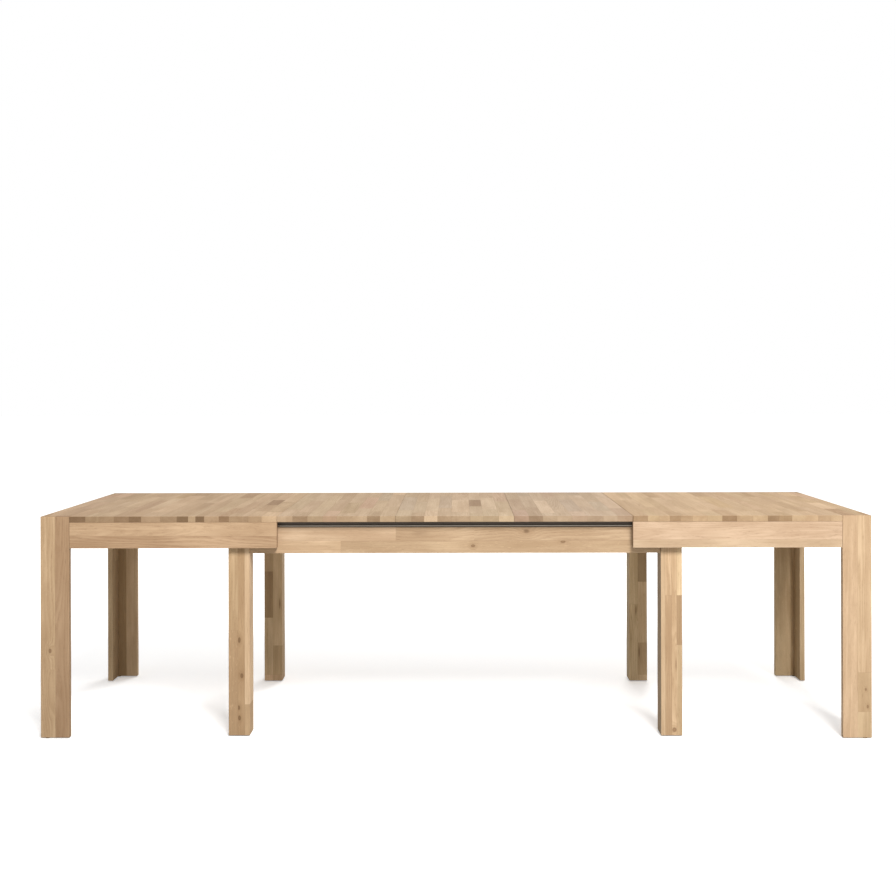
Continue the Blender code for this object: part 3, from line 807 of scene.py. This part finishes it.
# a bare-metal lip, partly painted highlight: its light colour also stands in for the highlight line along the rail
LIP_AND_HIGHLIGHT = plain_material("rail_lip_and_highlight", linear(186, 178, 168), 0.40, 0.85, 0.10, 30.0, (2, 60, 60))
RUNNER = plain_material("runner", linear(176, 174, 172), 0.38, 0.92, 0.05, 30.0, (2, 60, 60))
BOLT = plain_material("stop_bolt", linear(168, 166, 164), 0.36, 0.92, 0.05, 400.0)
GLIDE = plain_material("glide", linear(44, 42, 40), 0.72, 0.0, 0.15, 900.0)

for name, obj in NODES.items():
    material = RAIL if "guide_rail" in name else RUNNER if "runner" in name else BOLT if "stop" in name \
        else GLIDE if "glide" in name else None
    if material:
        obj.data.materials.clear()
        obj.data.materials.append(material)

# a light strip in each rail's groove: a bare-metal lip whose colour also stands in for the rail's highlight line,
# partly painted highlight
for face, sign in (("front", -1), ("rear", 1)):
    low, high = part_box(f"guide_rail_{face}")
    middle = (low.z + high.z) / 2
    outer = low.y if sign < 0 else high.y
    y0, y1 = sorted((outer + sign * 0.0008, outer - sign * 0.0012))
    strip_low, strip_high = (low.x + 0.002, y0, middle - 0.0074), (high.x - 0.002, y1, middle - 0.0042)
    form = rounded_block(box_outline(strip_low, strip_high), None, strip_low[2], strip_high[2], 0.0006, 3)
    mesh = bpy.data.meshes.new(f"rail_lip_and_highlight_{face}")
    form.to_mesh(mesh)
    form.free()
    for p in mesh.polygons:
        p.use_smooth = True
    weighted_normals(mesh)
    mesh.materials.append(LIP_AND_HIGHLIGHT)
    strip = bpy.data.objects.new(f"rail_lip_and_highlight_{face}", mesh)
    SCENE.collection.objects.link(strip)
    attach(strip, "centre_frame")


# ------------------------------------------------------------------ stage
def soft_box(name, at, toward, size, watts, colour, mirrored=True):
    """A square studio lamp that faces the table."""
    data = bpy.data.lights.new(name, "AREA")
    data.shape, data.size = "SQUARE", size
    data.energy, data.color = watts, colour
    lamp = bpy.data.objects.new(name, data)
    at, toward = Vector(at), Vector(toward)
    lamp.location = at
    lamp.rotation_euler = (at - toward).to_track_quat("Z", "Y").to_euler()
    lamp.visible_camera = False
    lamp.visible_glossy = mirrored
    SCENE.collection.objects.link(lamp)


def make_stage():
    form = bmesh.new()
    bmesh.ops.create_grid(form, x_segments=2, y_segments=2, size=40.0)
    mesh = bpy.data.meshes.new("floor")
    form.to_mesh(mesh)
    form.free()
    material = bpy.data.materials.new("floor")
    t = Tree(material)
    place = t.nodes.new("ShaderNodeTexCoord").outputs["Object"]
    n = t.noise(place, 1.2, 2.0).outputs["Fac"]
    seen = t.nodes.new("ShaderNodeLightPath").outputs["Is Camera Ray"]
    floor_tone = t.mix(n, rgba((0.93, 0.93, 0.93)), rgba((0.95, 0.95, 0.95)))
    t.links.new(t.mix(seen, rgba((0.53, 0.53, 0.50)), floor_tone), t.shader.inputs["Base Color"])
    t.shader.inputs["Emission Color"].default_value = (1, 1, 1, 1)
    # painted light: the floor glows for the camera, more towards its far end, which lifts its shadow under the table
    # and brightens the far floor
    far = t.ramp(t.vec("LENGTH", place), 2.2, 7.0, 0.30, 0.62)
    t.links.new(t.math("MULTIPLY", seen, far), t.shader.inputs["Emission Strength"])
    t.shader.inputs["Roughness"].default_value = 0.9
    t.shader.inputs["Specular IOR Level"].default_value = 0.0
    mesh.materials.append(material)
    floor = bpy.data.objects.new("floor", mesh)
    SCENE.collection.objects.link(floor)

    world = bpy.data.worlds.new("studio")
    SCENE.world = world
    world.use_nodes = True
    nodes, links = world.node_tree.nodes, world.node_tree.links
    nodes.clear()
    out = nodes.new("ShaderNodeOutputWorld")
    shown, lit = nodes.new("ShaderNodeBackground"), nodes.new("ShaderNodeBackground")
    shown.inputs["Color"].default_value = (1, 1, 1, 1)
    shown.inputs["Strength"].default_value = 1.0
    lit.inputs["Color"].default_value = (1.0, 1.0, 1.0, 1)
    lit.inputs["Strength"].default_value = 0.50
    path, mix = nodes.new("ShaderNodeLightPath"), nodes.new("ShaderNodeMixShader")
    links.new(path.outputs["Is Camera Ray"], mix.inputs[0])
    links.new(lit.outputs[0], mix.inputs[1])
    links.new(shown.outputs[0], mix.inputs[2])
    links.new(mix.outputs[0], out.inputs[0])

    soft_box("key", (1.7, -5.6, 5.8), (0.0, 0.0, 0.5), 2.4, 690.0, (1.0, 0.995, 0.985))
    soft_box("back_fill", (1.2, 5.8, 3.4), (0.0, 0.0, 0.5), 2.6, 240.0, (1.0, 1.0, 1.0), mirrored=False)


make_stage()
